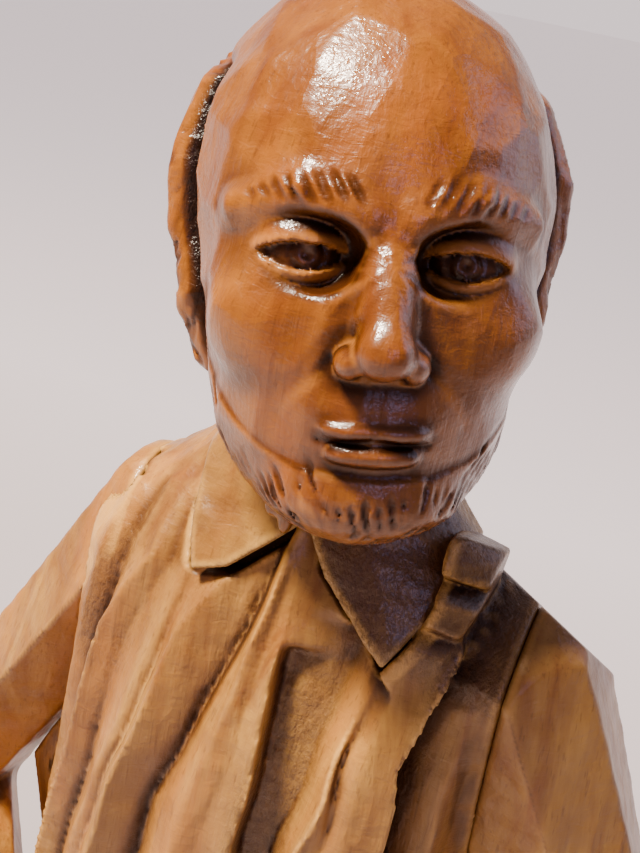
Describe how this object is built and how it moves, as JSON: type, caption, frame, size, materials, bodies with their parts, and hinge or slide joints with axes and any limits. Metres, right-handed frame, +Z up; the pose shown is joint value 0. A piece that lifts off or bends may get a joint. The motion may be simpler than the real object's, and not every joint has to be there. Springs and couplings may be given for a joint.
{
  "type": "carved wooden figurine",
  "caption": "Knife-carved standing man with a bald crown and short beard, open jacket over a loose collared shirt, one hand in a pocket, on an oval plinth with felt under it.",
  "frame": {"origin": "middle of the felt pad's underside", "axes": "+Z up through the crown of the head, -Y the way the chest faces, +X to the figure's own left"},
  "size_m": [0.116, 0.084, 0.2211],
  "materials": {
    "body_wood": "satin oil over knife cuts, darker in the cuts",
    "head_wood": "gloss varnish over orange-brown stain",
    "plinth_wood": "satin stain",
    "dowel_wood": "bare",
    "glue": "dried clear glue, glossy",
    "felt": "pressed felt",
    "screw_steel": "zinc plated"
  },
  "bodies": {
    "root": {"felt_pad": "felt", "plinth": "plinth_wood", "right_plinth_screw": "screw_steel", "left_plinth_screw": "screw_steel", "figure_body": "body_wood", "right_arm": "body_wood", "left_arm": "body_wood", "right_shoulder_dowel": "dowel_wood", "left_shoulder_dowel": "dowel_wood", "left_hand": "head_wood", "left_wrist_peg": "dowel_wood", "head": "head_wood", "neck_dowel": "dowel_wood", "neck_glue_bead": "glue"}
  },
  "joints": []
}
